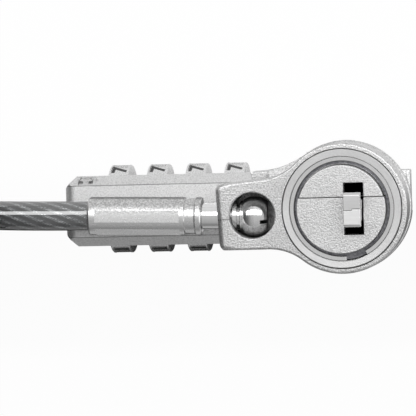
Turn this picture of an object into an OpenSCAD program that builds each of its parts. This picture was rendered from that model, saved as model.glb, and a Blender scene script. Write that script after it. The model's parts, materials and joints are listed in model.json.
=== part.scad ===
// Laptop cable lock: a four-wheel combination bar with a round head, a scissor nose that spreads
// behind a laptop's security slot, and a steel cable on a collar that swivels round the head.
// The lock lies on its back. Z is the axis of the head and points out of the nose, the bar points
// to -X, and the origin is on the head's axis at the plane that the lock rests on.

/* [Bar] */
// Distance from the head's axis to the far end of the bar
bar_len = 53.2; // [53:0.1:56]
// Width of the bar across its widest line
bar_w = 13.3; // [13:0.1:14]
// Height of the bar's front face above the rest plane
bar_h = 19; // [19:0.1:20]
// Width of the sloping strip along each long edge of the front
edge_w = 1.8; // [1.2:0.1:2.2]
// Inward slope of the side walls, in degrees
draft = 6; // [3:0.5:6.5]

/* [Head] */
// Radius of the round head behind the collar
head_r = 12.3; // [12:0.1:12.4]
// Radius of the post that the collar turns on
post_r = 8.25; // [8:0.05:8.3]
// Radius of the nose disc
disc_r = 8; // [7.6:0.1:8]

/* [Collar and cable end] */
// Outer radius of the swivel collar
collar_r = 12; // [11.6:0.1:12.4]
// Distance from the head's axis to the ball of the swivel pin
ball_x = 16.6; // [16:0.1:17.2]
// Width of the collar's ear beside its window
ear_w = 12.9; // [12:0.1:13]
// How far the collar is swung round the head from the line of the bar, in degrees
ear_turn = 3.2; // [0:0.2:5]
// How far the swivel pin and the cable lean back from the ear's own line, in degrees
pin_lean = 4.5; // [0:0.1:5]
// Diameter of the crimped ferrule
ferrule_d = 7.2; // [7.2:0.1:7.6]
// Length of the ferrule
ferrule_len = 21.3; // [19:0.1:22]
// Diameter of the cable over its vinyl jacket
cable_d = 5.5; // [5:0.1:5.5]

/* [Number wheels] */
// Diameter of a number wheel across its corners
wheel_d = 16.8; // [16.4:0.1:16.8]
// Width of a number wheel
wheel_w = 3.8; // [3.6:0.1:4.1]
// Distance from one wheel to the next
wheel_pitch = 7.4; // [7.3:0.1:7.5]
// Distance from the head's axis to the nearest wheel
first_wheel = 21.3; // [21.1:0.1:21.5]

/* [Nose] */
// Width of the nose, to fit a slot 3 mm wide
nose_w = 3; // [2.8:0.1:3]
// Length of the nose, to fit a slot 7 mm long
nose_len = 6.2; // [5.8:0.1:6.4]
// Offset of the nose from the head's axis
nose_x = 2.3; // [2:0.1:2.6]
// How far the nose stands out of the disc
nose_out = 4.8; // [4.4:0.1:5.2]

/* [Hidden] */
$fn = 72;
eps = 0.01;       // overlap that keeps cuts clean
fit = 0.05;       // radial clearance of a running fit

// Levels above the rest plane
cover_z = 16.8;   // seam between the housing and the front cover
slope_h = 1.6;    // height of the sloping strip
axle_z = 9.6;     // axis of the spindle and the wheels
collar_z = bar_h + 0.1;
flange_z = 25.3;  // rear of the nose plates' flange, on top of the post
washer_z = 27.1;
ring_z = 27.7;    // rear of the snap ring
collar_top = 29;
disc_z = 30.5;    // front of the nose disc
pin_z = 23.7;     // axis of the swivel pin, the ferrule and the cable
jaw_z = 24.4;     // pivot of the jaws
lever_z = 12.4;

half = bar_w / 2;
flat_half = half - edge_w;
end_cut = 2.2;    // corner cut at the far end of the bar
blend_r = 19;     // concave blend between the bar and the head
blend_y = half + blend_r;
blend_x = -sqrt(pow(head_r + blend_r, 2) - blend_y * blend_y);
cover_end = -14.5; // end of the front cover towards the head
strip_end = -18;   // end of its sloping strips, cut on a slant

// Wheels and spindle
hub_r = 4.55;
hub_len = 4.7;
spindle_r = 1.5;
blade_r = 3;
blade_w = 1.4;
blade_t = 0.9;
wheel_room = 0.35;  // clearance round a wheel
hall_right = -first_wheel + 2.7;
hall_left = -first_wheel - 3 * wheel_pitch - 2.7;
seat_r = 2.4;       // bore of the far end, for the spindle's spring
bush_r = 3.1;
bush_x = -16.3;     // beyond the reach of the first blade
tip_x = -1.7;       // end of the spindle's follower
reset_r = 2.3;

// Thumb lever and cams
lever_turn = 35;
spindle_travel = 1.4;
shaft_r = 2.2;
lever_r = 6.5;
paddle = [12, 6.5];
cam_z = 20.1;
cam_r = 1.5;
cam_off = 0.55;

// Jaws
jaw_gap = 0.06;
hook_z = disc_z + 2.1;
jaw_top = disc_z + nose_out;
pivot_r = 0.8;

// Collar
ear_left = -23.1;
ear_end_half = 6.05; // half the ear's width at its end
ear_corner = 0.6;
window_r = 4.25;
pin_off = 0.4;       // the pin's bore stands this far below the ear's middle
ball_r = 3.8;
ball_cut = 2.5;      // flat end of the ball, from its centre
bore_r = 2.4;
ring_bore = 9.6;

// Ferrule, cable and its coil
ferrule_right = -26.4;
ferrule_left = ferrule_right - ferrule_len;
cable_r = cable_d / 2;
coil_x = -116;
coil_y = -32.7;       // the cable comes to it 0.5 beyond the axis of the bar
coil_r = 33.2;      // centre of the outer turn
turn = 5.6;         // from one turn to the next
coil_base = 0.6;
lay_z = coil_base + cable_r;
loop_z = 21.2;
loop_r = 29.2;      // centre of the cable where it enters the sleeve
sleeve_angle = 210;
tie_angle = 330;
// The cable's way from the ferrule down to the coil: straight out, then an even S-curve
cable_route = [[-46.5, -0.6, pin_z], [-58, -0.4, pin_z], [-66, -0.2, 22.3], [-74, 0, 18.6],
    [-82, 0.2, 13.5], [-90, 0.4, 8.4], [-98, 0.5, 4.7], [-106, 0.5, 3.4], [coil_x, 0.5, lay_z]];

function unit(v) = v / norm(v);
function heading(p, i) = unit(p[min(i + 1, len(p) - 1)] - p[max(i - 1, 0)]);
function square_to(v, t) = unit(v - (v * t) * t);
// One side vector per point, carried along the line without twisting
function sides_along(p, up) = [for (i = 0, v = square_to(up, heading(p, 0)); i < len(p);
    v = square_to(v, heading(p, min(i + 1, len(p) - 1))), i = i + 1) v];
function ring_points(c, n, b, r, count) =
    [for (k = [0 : count - 1]) c + r * (cos(360 * k / count) * n + sin(360 * k / count) * b)];

// Round tube swept along a list of points
module tube(points, r, count = 8, up = [0, 0, 1]) {
    n = sides_along(points, up);
    last = len(points) - 1;
    corners = [for (i = [0 : last])
        each ring_points(points[i], n[i], cross(heading(points, i), n[i]), r, count)];
    walls = [for (i = [0 : last - 1], k = [0 : count - 1])
        [i * count + k, (i + 1) * count + k, (i + 1) * count + (k + 1) % count,
            i * count + (k + 1) % count]];
    caps = [[for (k = [0 : count - 1]) k], [for (k = [count - 1 : -1 : 0]) last * count + k]];
    polyhedron(corners, concat(walls, caps));
}

// Wire wound round Z, for springs
module winding(r, wire_r, turns, height) {
    steps = ceil(turns * 14);
    tube([for (i = [0 : steps]) [r * cos(360 * turns * i / steps), r * sin(360 * turns * i / steps),
        height * i / steps]], wire_r, 6, [1, 0, 0]);
}

// Puts what is drawn along Z on an axis that runs to +X from a given place
module along_x(x, y, z) translate([x, y, z]) rotate([90, 0, 90]) children();

// Countersunk screw with its head up, cut with a straight slot
module screw(head_r, shank_r, length, slot_w) difference() {
    union() {
        cylinder(r = shank_r, h = length);
        translate([0, 0, length - head_r + shank_r])
            cylinder(r1 = shank_r, r2 = head_r, h = head_r - shank_r);
    }
    translate([-head_r, -slot_w / 2, length - 0.35]) cube([2 * head_r, slot_w, 1]);
}

// Plan of the bar and its concave blends into the head
module bar_plan() {
    difference() {
        union() {
            polygon([[-bar_len + end_cut, -half], [0, -half], [0, half], [-bar_len + end_cut, half],
                [-bar_len, half - end_cut], [-bar_len, -half + end_cut]]);
            polygon([[blend_x, -blend_y], [0, 0], [blend_x, blend_y]]);
        }
        for (s = [-1, 1]) translate([blend_x, s * blend_y]) circle(r = blend_r);
    }
}

// Cross-section of the bar below the cover, pulled in by a wall thickness
module bar_section(inset) {
    foot = half - cover_z * tan(draft);
    polygon([[-half + inset, cover_z], [-foot + inset, 0.8], [-foot + 0.8 + inset, 0],
        [foot - 0.8 - inset, 0], [foot - inset, 0.8], [half - inset, cover_z]]);
}

module wheel_places() for (i = [0 : 3]) along_x(-first_wheel - i * wheel_pitch, 0, axle_z) children();

module reset_axis(out) translate([-49.25, half - edge_w / 2, bar_h - slope_h / 2])
    rotate([-atan2(slope_h, edge_w), 0, 0]) translate([0, 0, out]) children();

module cover_screw_places() for (x = [-50.3, -16.6]) translate([x, 0, 13.4]) children();

module back_screw_places() for (a = [60, 135, 225, 300]) rotate(a) translate([7, 0, 0]) children();

module nose_screw_places() for (p = [[-2.8, 5.4], [-5.4, -2.6], [-1.6, -5.8]])
    translate([p[0], p[1], lever_z + 4.7]) children();

// Outer form of the housing: bar, head and the blends between them
module housing_form() {
    intersection() {
        linear_extrude(bar_h) bar_plan();
        union() {
            along_x(-bar_len - 1, 0, 0) linear_extrude(bar_len + 1) bar_section(0);
            translate([cover_end, -blend_y, 7]) cube([-cover_end, 2 * blend_y, bar_h]);
            translate([strip_end, -blend_y, 7]) cube([-strip_end, 2 * blend_y, cover_z - 7]);
        }
    }
    rotate_extrude() polygon([[0, 0], [9.2, 0], [9.8, 0.6], [head_r, 15.5], [head_r, bar_h - 0.4],
        [head_r - 0.4, bar_h], [0, bar_h]]);
    cylinder(r = post_r, h = flange_z);
}

// Space inside the bar for the wheels, open to the front
module wheel_hall() {
    intersection() {
        along_x(hall_left, 0, 0) linear_extrude(hall_right - hall_left) bar_section(1.1);
        translate([hall_left, -half, 0]) union() {
            translate([0, 0, axle_z]) cube([hall_right - hall_left, bar_w, bar_h]);
            along_x(0, half, axle_z) cylinder(r = wheel_d / 2 + 0.3, h = hall_right - hall_left);
            translate([0, half - 3.7, 0.9]) cube([hall_right - hall_left, 1.4, 3]);
        }
    }
    wheel_places() translate([0, 0, -wheel_w / 2 - 0.25]) {
        cylinder(r = wheel_d / 2 + wheel_room, h = wheel_w + 0.5);
        translate([-wheel_d / 2 - wheel_room, 0, 0])
            cube([wheel_d + 2 * wheel_room, bar_h, wheel_w + 0.5]);
    }
}

// Space inside the head for the lever and its shaft
module head_hall() {
    difference() {
        translate([0, 0, -eps]) cylinder(r = 8.6, h = lever_z - 0.3);
        back_screw_places() translate([0, 0, 1.6]) cylinder(r = 2, h = 5);
    }
    back_screw_places() cylinder(r = 0.7, h = 5.2);
    translate([0, 0, lever_z - 0.4]) cylinder(r = 9.8, h = 5.1);
    translate([nose_x, 0, 0]) cylinder(r = shaft_r + fit, h = flange_z);
    // Window for the thumb paddle and its sweep
    translate([nose_x, 0, lever_z - 0.3]) rotate(-6) rotate_extrude(angle = 98)
        square([13, 4.9]);
}

module housing() {
    color("gainsboro") difference() {
        housing_form();
        wheel_hall();
        head_hall();
        // Seat of the spindle's spring, and the bores of the spindle, plug and screws
        along_x(-bar_len - 1, 0, axle_z) cylinder(r = seat_r, h = hall_left + bar_len + 1 + eps);
        along_x(hall_right - eps, 0, axle_z) cylinder(r = bush_r, h = 14);
        cover_screw_places() cylinder(r = 0.8, h = 10);
        reset_axis(-3.6) cylinder(r = reset_r + fit, h = 10);
        nose_screw_places() cylinder(r = 0.75, h = 12);
        // Slot through the post for the jaws, and the bore of their pivot
        translate([nose_x - 1.8, -4.75, bar_h]) cube([3.6, 9.5, 12]);
        translate([nose_x - 2.4, -2.4, cam_z - 1.1]) cube([4.8, 4.8, 3.3]);
        along_x(-1, 0, jaw_z) cylinder(r = pivot_r, h = 12);
    }
}

module front_cover() {
    color("gainsboro") difference() {
        intersection() {
            translate([0, 0, cover_z]) linear_extrude(bar_h - cover_z) intersection() {
                bar_plan();
                polygon([[-bar_len, -12], [strip_end - 2, -12], [strip_end + 0.65, -flat_half],
                    [cover_end, -flat_half], [cover_end, flat_half], [strip_end + 0.65, flat_half],
                    [strip_end - 2, 12], [-bar_len, 12]]);
            }
            along_x(-bar_len, 0, 0) linear_extrude(bar_len + cover_end) polygon([[-half, cover_z],
                [-half, bar_h - slope_h], [-flat_half, bar_h], [flat_half, bar_h],
                [half, bar_h - slope_h], [half, cover_z]]);
            rotate([90, 0, 0]) linear_extrude(30, center = true) polygon([[-bar_len, cover_z],
                [-bar_len, bar_h - 1.6], [-bar_len + 0.5, bar_h - 0.5], [-bar_len + 1.6, bar_h],
                [0, bar_h], [0, cover_z]]);
        }
        // Pocket over the wheels
        translate([hall_left, -half + 1.4, cover_z - 1])
            cube([hall_right - hall_left, bar_w - 2.8, 1.8]);
        along_x(hall_left, 0, axle_z) cylinder(r = wheel_d / 2 + 0.2, h = hall_right - hall_left);
        cover_screw_places() {
            cylinder(r = 0.85, h = 10);
            translate([0, 0, bar_h - 13.4 - 0.7]) cylinder(r1 = 0.8, r2 = 1.5, h = 0.7 + eps);
        }
        reset_axis(-3.6) cylinder(r = reset_r + fit, h = 10);
    }
}

module cover_screws() {
    color("silver") cover_screw_places() screw(1.45, 0.75, bar_h - 13.4, 0.4);
}

module back_plate() {
    color("silver") difference() {
        union() {
            cylinder(r = 8.55, h = 1.6);
            translate([nose_x, 0, 1.6 - eps]) cylinder(r = 3.2, h = 0.6);
        }
        translate([nose_x, 0, 0.7]) cylinder(r = 1.5 + fit, h = 3);
        back_screw_places() {
            translate([0, 0, -eps]) cylinder(r = 0.75, h = 4);
            translate([0, 0, -eps]) cylinder(r1 = 1.35, r2 = 0.75, h = 0.65);
        }
    }
}

module back_screws() {
    color("silver") back_screw_places() translate([0, 0, 5]) mirror([0, 0, 1])
        screw(1.3, 0.7, 5, 0.4);
}

// One of the two plates that make the nose disc; side is 1 for the one beyond the seam
module nose_plate(side) {
    seam = 2.1;
    difference() {
        union() {
            translate([0, 0, flange_z]) cylinder(r = 9.2, h = washer_z - flange_z);
            translate([0, 0, flange_z]) cylinder(r = disc_r, h = disc_z - flange_z - 0.4);
            translate([0, 0, disc_z - 0.4 - eps])
                cylinder(r1 = disc_r, r2 = disc_r - 0.4, h = 0.4 + eps);
        }
        translate([-12, side > 0 ? seam - 23.96 : seam - 0.04, flange_z - 1])
            cube([24, 24, 8]);
        translate([nose_x - 1.8, -4.75, flange_z - 1]) cube([3.6, 9.5, 8]);
        nose_screw_places() cylinder(r = 0.7, h = 11);
    }
}

module upper_nose_plate() {
    color("lightgray") nose_plate(1);
}

module lower_nose_plate() {
    color("lightgray") nose_plate(-1);
}

module nose_screws() {
    color("silver") nose_screw_places() difference() {
        union() {
            cylinder(r = 0.7, h = 11);
            cylinder(r = 0.75, h = 1.6);
        }
        translate([-1, -0.2, -eps]) cube([2, 0.4, 0.4]);
    }
}

// A jaw of the scissor nose: hook and shank above the pivot, tail below it on the other side.
// The shank takes one half of the nose's width, and the hooks meet in a stepped seam.
module jaw() {
    leaf = nose_w / 2 - jaw_gap / 2;
    hook_h = jaw_top - hook_z;
    translate([-nose_w / 2, 0, 0]) difference() {
        union() {
            translate([0, -0.12, hook_z]) cube([nose_w / 2, nose_len / 2 + 0.12, hook_h]);
            translate([0, 0.18, hook_z]) cube([nose_w, nose_len / 2 - 0.18, hook_h]);
            translate([0, -0.12, hook_z - 3]) cube([leaf, 2.3, 3 + eps]);
            translate([0, -1.6, jaw_z]) cube([leaf, 3.2, hook_z - jaw_z - 3 + eps]);
            along_x(0, 0, jaw_z) cylinder(r = 1.9, h = leaf);
            translate([0, -2.8, cam_z + 0.1]) cube([leaf, 1.22, jaw_z - cam_z - 0.1]);
        }
        along_x(-1, 0, jaw_z) cylinder(r = pivot_r + fit, h = leaf + 2);
        // Lead-in bevel of the hook
        translate([0, nose_len / 2, jaw_top]) rotate([45, 0, 0])
            cube([3 * nose_w, 0.6, 0.6], center = true);
    }
}

module upper_jaw() {
    color("darkgray") translate([nose_x, 0, 0]) jaw();
}

module lower_jaw() {
    color("lightgray") translate([nose_x, 0, 0]) rotate(180) jaw();
}

module jaw_pivot_pin() {
    color("silver") along_x(0.1, 0, jaw_z) cylinder(r = pivot_r, h = 7.4);
}

// Flat spring clip that draws the two tails together
module jaw_spring() {
    color("slategray") translate([nose_x, 0, 22.3]) difference() {
        translate([-1.76, -3.3, 0]) cube([3.4, 6.6, 1.1]);
        translate([-1.58, -3.0, -1]) cube([8, 6.0, 3.1]);
    }
}

module thumb_lever() {
    color("gainsboro") difference() {
        union() {
            translate([nose_x, 0, lever_z]) cylinder(r = lever_r, h = 3);
            translate([nose_x + 3, -0.2, lever_z]) cube([paddle[0] - nose_x - 3, paddle[1] + 0.2, 4.3]);
        }
        translate([nose_x - 1.6, -1.6, lever_z - 1]) cube([3.2, 3.2, 8]);
        translate([nose_x, 0, lever_z + 3]) cylinder(r = 5.2, h = 4);
    }
}

// Outline of the release cam: it grows round the shaft as fast as the spindle is pushed back
function release_edge(a) = 3.85 + spindle_travel * max(0, min(a, lever_turn + 12)) / lever_turn;

module cam_shaft() {
    color("silver") translate([nose_x, 0, 0]) {
        translate([0, 0, 0.8]) cylinder(r = 1.5, h = 3);
        translate([0, 0, 2.3]) cylinder(r = shaft_r, h = lever_z - 2.3);
        translate([-1.6, -1.6, lever_z - eps]) cube([3.2, 3.2, 3.2]);
        translate([0, 0, lever_z + 3.1]) cylinder(r = shaft_r, h = cam_z - lever_z - 3.1);
        translate([0, 0, 7.7]) linear_extrude(3.8)
            polygon([for (a = [-24 : 6 : 318]) let (r = a < lever_turn + 30 ? release_edge(a) : 3.85)
                r * [cos(180 - a), sin(180 - a)]]);
        // Oval cam between the jaws' tails
        for (s = [-1, 1]) translate([s * cam_off, 0, cam_z - eps]) cylinder(r = cam_r, h = 1.9);
        translate([-cam_off, -cam_r, cam_z - eps]) cube([2 * cam_off, 2 * cam_r, 1.9]);
    }
}

module lever_spring() {
    color("slategray") translate([nose_x, 0, 3.2]) winding(2.75, 0.3, 4, 3.4);
}

// The collar as it lies, and inside it the line of the swivel pin, which leans about the ball
module swung() rotate(ear_turn) children();
module leaning() translate([-ball_x, -pin_off, 0]) rotate(-pin_lean) translate([ball_x, 0, 0])
    children();
module on_pin() swung() leaning() children();

// Plan of the collar: ring, ear and the concave blends between them
module collar_plan() {
    r = 10;
    cy = ear_w / 2 + r;
    cx = -sqrt(pow(collar_r + r, 2) - cy * cy);
    c = ear_corner;
    difference() {
        union() {
            circle(r = collar_r);
            polygon([[0, -ear_w / 2], [0, ear_w / 2], [cx, ear_w / 2],
                [ear_left + c, ear_end_half], [ear_left, ear_end_half - c],
                [ear_left, -ear_end_half + c], [ear_left + c, -ear_end_half], [cx, -ear_w / 2]]);
            for (s = [-1, 1]) translate([ear_left + c, s * (ear_end_half - c)]) circle(r = c);
            polygon([[cx, -cy], [0, -8], [0, 8], [cx, cy]]);
        }
        for (s = [-1, 1]) translate([cx, s * cy]) circle(r = r);
    }
}

module swivel_collar() {
    color("gainsboro") swung() difference() {
        union() {
            translate([0, 0, collar_z]) linear_extrude(collar_top - collar_z - 0.5) collar_plan();
            translate([0, 0, collar_z]) cylinder(r = 10.9, h = collar_top - collar_z);
        }
        translate([0, 0, collar_z - 1]) cylinder(r = post_r + fit, h = 20);
        translate([0, 0, flange_z - 0.1]) cylinder(r = ring_bore, h = 8);
        translate([0, 0, ring_z]) cylinder(r = ring_bore + 0.5, h = 0.9);
        // Window and bore of the swivel pin
        translate([-ball_x, 0, collar_z + 0.5]) cylinder(r = window_r, h = 12);
        leaning() {
            along_x(-ball_x - window_r, 0, pin_z) cylinder(r = 3.2, h = 4);
            along_x(ear_left - 1, 0, pin_z) cylinder(r = bore_r + fit, h = 6);
        }
    }
}

module snap_ring() {
    color("silver") translate([0, 0, ring_z]) difference() {
        cylinder(r = ring_bore + 0.45, h = 0.88);
        translate([0, 0, -1]) cylinder(r = 8.7, h = 3);
        rotate(285.8) translate([6, -1.9, -1]) cube([6, 3.8, 3]);
    }
}

module wave_washer() {
    color("slategray") translate([0, 0, washer_z + 0.02]) difference() {
        cylinder(r = 9.4, h = ring_z - washer_z - 0.04);
        translate([0, 0, -1]) cylinder(r = 8.3, h = 3);
    }
}

module swivel_pin() {
    color("silver") on_pin() difference() {
        union() {
            along_x(ferrule_right - 8, 0, pin_z) cylinder(r = bore_r, h = 13.8);
            along_x(ferrule_right - 8, 0, pin_z) cylinder(r = 2.72, h = 3);
            along_x(-20.6, 0, pin_z) cylinder(r = 3, h = 0.9);
            along_x(-19.2, 0, pin_z) cylinder(r = 2.9, h = 0.4);
            translate([-ball_x, 0, pin_z]) rotate([0, 90, 0]) sphere(r = ball_r);
        }
        along_x(-ball_x + ball_cut, 0, pin_z) cylinder(r = 5, h = 5);
        // Groove behind the ball
        translate([-ball_x - 2.2, 0, pin_z]) rotate([0, 90, 0]) difference() {
            cylinder(r = 5, h = 0.25);
            translate([0, 0, -1]) cylinder(r = 2.7, h = 3);
        }
        translate([-ball_x + 1.3, 0, pin_z]) rotate([15, 0, 0]) translate([0, -0.35, -5])
            cube([3, 0.7, 10]);
    }
}

module ferrule() {
    crimp = ferrule_d / 2 - 0.12;
    color("silver") on_pin() difference() {
        union() {
            along_x(ferrule_left + 0.5, 0, pin_z) cylinder(r = ferrule_d / 2, h = 2);
            along_x(ferrule_left, 0, pin_z)
                cylinder(r1 = ferrule_d / 2 - 0.5, r2 = ferrule_d / 2, h = 0.5 + eps);
            along_x(ferrule_left + 2, 0, pin_z) cylinder(r = crimp, h = ferrule_len - 4);
            along_x(ferrule_right - 3.2, 0, pin_z) cylinder(r = ferrule_d / 2 - 0.1, h = 2.2);
            along_x(ferrule_right - 1.2, 0, pin_z) cylinder(r = ferrule_d / 2, h = 1.2);
        }
        along_x(ferrule_left - 1, 0, pin_z) cylinder(r = cable_r + 0.1, h = 4);
        along_x(ferrule_right - 8, 0, pin_z) cylinder(r = 2.72, h = 3);
        along_x(ferrule_right - 6, 0, pin_z) cylinder(r = bore_r, h = 8);
        along_x(ferrule_right - 1.6, 0, pin_z) cylinder(r1 = bore_r, r2 = 3.1, h = 1.6 + eps);
    }
}

// Ten-sided wheel; each flat carries a digit
module number_wheel(i) {
    along_x(-first_wheel - (i - 1) * wheel_pitch, 0, axle_z) translate([0, 0, -wheel_w / 2])
        difference() {
            cylinder(r = wheel_d / 2, h = wheel_w, $fn = 10);
            translate([0, 0, -1]) cylinder(r = hub_r, h = wheel_w + 2);
        }
}

// Sleeve inside a wheel, slotted for the spindle's blades
module wheel_hub(i) {
    along_x(-first_wheel - (i - 1) * wheel_pitch, 0, axle_z) translate([0, 0, -hub_len / 2])
        difference() {
            cylinder(r = hub_r, h = hub_len);
            translate([0, 0, -1]) cylinder(r = spindle_r + fit, h = hub_len + 2);
            translate([0, -blade_w / 2 - 0.15, -1]) cube([blade_r + 0.2, blade_w + 0.3, hub_len + 2]);
        }
}

module wheel_color() color("silver") children();

module number_wheel_1() wheel_color() number_wheel(1);
module number_wheel_2() wheel_color() number_wheel(2);
module number_wheel_3() wheel_color() number_wheel(3);
module number_wheel_4() wheel_color() number_wheel(4);

module hub_color() color("darkgoldenrod") children();

module wheel_hub_1() hub_color() wheel_hub(1);
module wheel_hub_2() hub_color() wheel_hub(2);
module wheel_hub_3() hub_color() wheel_hub(3);
module wheel_hub_4() hub_color() wheel_hub(4);

// Blocking rod: a blade stands beside each hub, and the tip follows the release cam
module spindle() {
    color("silver") {
        along_x(-49.1, 0, axle_z) cylinder(r = spindle_r, h = 49.1 + tip_x - 2);
        along_x(-49.1, 0, axle_z) cylinder(r = seat_r - fit, h = 0.9);
        for (i = [0 : 3])
            translate([-first_wheel - i * wheel_pitch + hub_len / 2 + 1.55, 0, axle_z - blade_w / 2])
                cube([blade_t, blade_r, blade_w]);
        translate([tip_x - 3, -0.6, axle_z - 1.2]) cube([2.4, 1.2, 2.4]);
        translate([tip_x - 0.6, 0, axle_z - 1.2]) cylinder(r = 0.6, h = 2.4);
    }
}

module spindle_spring() {
    color("slategray") along_x(-52.1, 0, axle_z) winding(1.9, 0.25, 4, 2.7);
}

module spindle_bush() {
    color("darkgoldenrod") difference() {
        along_x(bush_x, 0, axle_z) cylinder(r = bush_r, h = 2.4);
        along_x(bush_x - 1, 0, axle_z) cylinder(r = spindle_r + fit, h = 5);
    }
}

module end_plug() {
    color("lightgray") along_x(-bar_len, 0, axle_z) difference() {
        cylinder(r = seat_r, h = 0.8);
        translate([0, 0, -eps]) cylinder(r = 0.9, h = 0.3);
    }
}

// Flat strip with a finger under each wheel, which clicks on its corners
module click_spring() {
    color("slategray") {
        translate([hall_left + 0.3, -3.6, 0.95])
            cube([hall_right - hall_left - 0.6, 1.2, 0.25]);
        for (i = [0 : 3]) along_x(-first_wheel - i * wheel_pitch - 0.75, -3, 1.3)
            cylinder(r = 0.3, h = 1.5);
    }
}

module reset_screw() {
    color("silver") difference() {
        reset_axis(-3.5) cylinder(r = reset_r, h = 3.1);
        reset_axis(-0.9) translate([-3, -0.4, 0]) cube([6, 0.8, 2]);
    }
}

module cable() {
    color("dimgray") tube(cable_route, cable_r);
}

// Three layers of three turns
module cable_coil() {
    inner = coil_r - 2 * turn - cable_r;
    color("dimgray") translate([coil_x, coil_y, coil_base]) rotate_extrude()
        translate([inner, 0]) square(2 * turn + cable_d);
}

// Place on the loop's spiral: it climbs from the coil's innermost turn, then runs once round to
// the sleeve
function loop_radius(a) = a < sleeve_angle ? loop_r - (loop_r - coil_r + 2 * turn) * (sleeve_angle - a) / 120
    : loop_r - turn * (a - sleeve_angle) / 360;
function loop_height(a) = a < sleeve_angle ? loop_z - (loop_z - lay_z - 2 * turn) * (sleeve_angle - a) / 120
    : loop_z - 0.5 + 0.5 * cos(a - sleeve_angle);

module end_loop() {
    color("dimgray") translate([coil_x, coil_y, 0]) tube([for (a = [90 : 20 : 570])
        [loop_radius(a) * cos(a), loop_radius(a) * sin(a), loop_height(a)]], cable_r);
}

// Crimped aluminium sleeve that closes the end loop
module loop_sleeve() {
    color("lightgray") translate([coil_x, coil_y, loop_z]) rotate(sleeve_angle)
        translate([loop_r - turn / 2, 6, 0]) rotate([90, 0, 0]) linear_extrude(12) {
            for (s = [-1, 1]) translate([s * turn / 2, 0]) circle(r = 3.4);
            translate([-turn / 2, -3.4]) square([turn, 6.8]);
        }
}

// Strap round the coil's turns
module coil_tie() {
    color("black") translate([coil_x, coil_y, 0]) rotate(tie_angle) difference() {
        translate([18.5, -6, 0]) cube([18.2, 12, 23.9]);
        translate([19.1, -7, coil_base]) cube([17, 14, 22.7]);
    }
}

housing();
front_cover();
cover_screws();
back_plate();
back_screws();
upper_nose_plate();
lower_nose_plate();
nose_screws();
upper_jaw();
lower_jaw();
jaw_pivot_pin();
jaw_spring();
thumb_lever();
cam_shaft();
lever_spring();
swivel_collar();
snap_ring();
wave_washer();
swivel_pin();
ferrule();
number_wheel_1();
number_wheel_2();
number_wheel_3();
number_wheel_4();
wheel_hub_1();
wheel_hub_2();
wheel_hub_3();
wheel_hub_4();
spindle();
spindle_spring();
spindle_bush();
end_plug();
click_spring();
reset_screw();
cable();
cable_coil();
end_loop();
loop_sleeve();
coil_tie();
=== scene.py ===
# %% [markdown]
# # A laptop cable lock, finished in Blender
#
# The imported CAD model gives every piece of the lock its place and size. This lesson loads it and
# builds the looks round it: die-cast shells with a sand-blasted skin, a polished ball pin, a
# crimped ferrule, number wheels and a steel cable under a clear jacket. The camera, the light and
# the cable come first, because everything else is judged through them.

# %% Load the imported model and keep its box
import json
from math import acos, atan2, cos, degrees, pi, radians, sin, sqrt

import bpy
from mathutils import Matrix, Vector


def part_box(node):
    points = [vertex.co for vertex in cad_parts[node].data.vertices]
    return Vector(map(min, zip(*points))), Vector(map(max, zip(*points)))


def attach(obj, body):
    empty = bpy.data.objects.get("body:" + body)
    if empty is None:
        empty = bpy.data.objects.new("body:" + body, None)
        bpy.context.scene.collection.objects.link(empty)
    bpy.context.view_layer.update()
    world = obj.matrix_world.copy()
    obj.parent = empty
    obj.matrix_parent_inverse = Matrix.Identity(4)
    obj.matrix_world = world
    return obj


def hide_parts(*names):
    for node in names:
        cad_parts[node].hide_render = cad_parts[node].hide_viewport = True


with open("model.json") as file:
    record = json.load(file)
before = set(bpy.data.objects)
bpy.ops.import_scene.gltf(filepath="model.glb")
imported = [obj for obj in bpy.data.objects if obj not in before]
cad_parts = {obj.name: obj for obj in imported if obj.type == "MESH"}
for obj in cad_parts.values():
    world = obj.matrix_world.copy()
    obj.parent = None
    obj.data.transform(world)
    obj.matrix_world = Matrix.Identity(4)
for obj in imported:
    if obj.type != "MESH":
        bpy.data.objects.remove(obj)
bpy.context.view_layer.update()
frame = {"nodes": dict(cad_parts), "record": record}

# %% [markdown]
# Blender's unit is the metre, and this lock's smallest edges are a tenth of a millimetre. The
# cutting and bevelling tools work better on numbers near one, so pieces are modelled with one unit
# to the millimetre and scaled once, when they are finished. The CAD boxes are read in millimetres.

# %% Units and places
MM = 0.001


def span(node):
    """Lowest and highest corner of a CAD node, in millimetres."""
    low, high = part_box(node)
    return low / MM, high / MM


def along_x(x=0, y=0, z=0):
    """A place whose own Z runs to +X, with its X on +Y and its Y on +Z."""
    return Matrix(((0, 0, 1, x), (1, 0, 0, y), (0, 1, 0, z), (0, 0, 0, 1)))


def shift(x, y=0, z=0):
    return Matrix.Translation((x, y, z))


def turn(angle, axis="Z"):
    return Matrix.Rotation(radians(angle), 4, axis)


ball_x = 16.6      # from the head's axis to the ball of the swivel pin
pin_z = 23.7       # height of the pin, the ferrule and the cable's exit
collar_turn = 3.2  # degrees that the collar has swung round the head
pin_offset, pin_lean = -0.4, -4.5
ferrule_end = -47.7
on_collar = turn(collar_turn)
on_pin = on_collar @ shift(-ball_x, pin_offset) @ turn(pin_lean) @ shift(ball_x)
cable_exit = on_pin @ Vector((ferrule_end, 0, pin_z))
print("cable leaves the ferrule at", [round(v, 2) for v in cable_exit])

# %% [markdown]
# The camera looks straight down on the lock, a little from the right and from above. The roll
# lets the bar climb slightly to the right. Its long lens keeps the perspective gentle.

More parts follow.
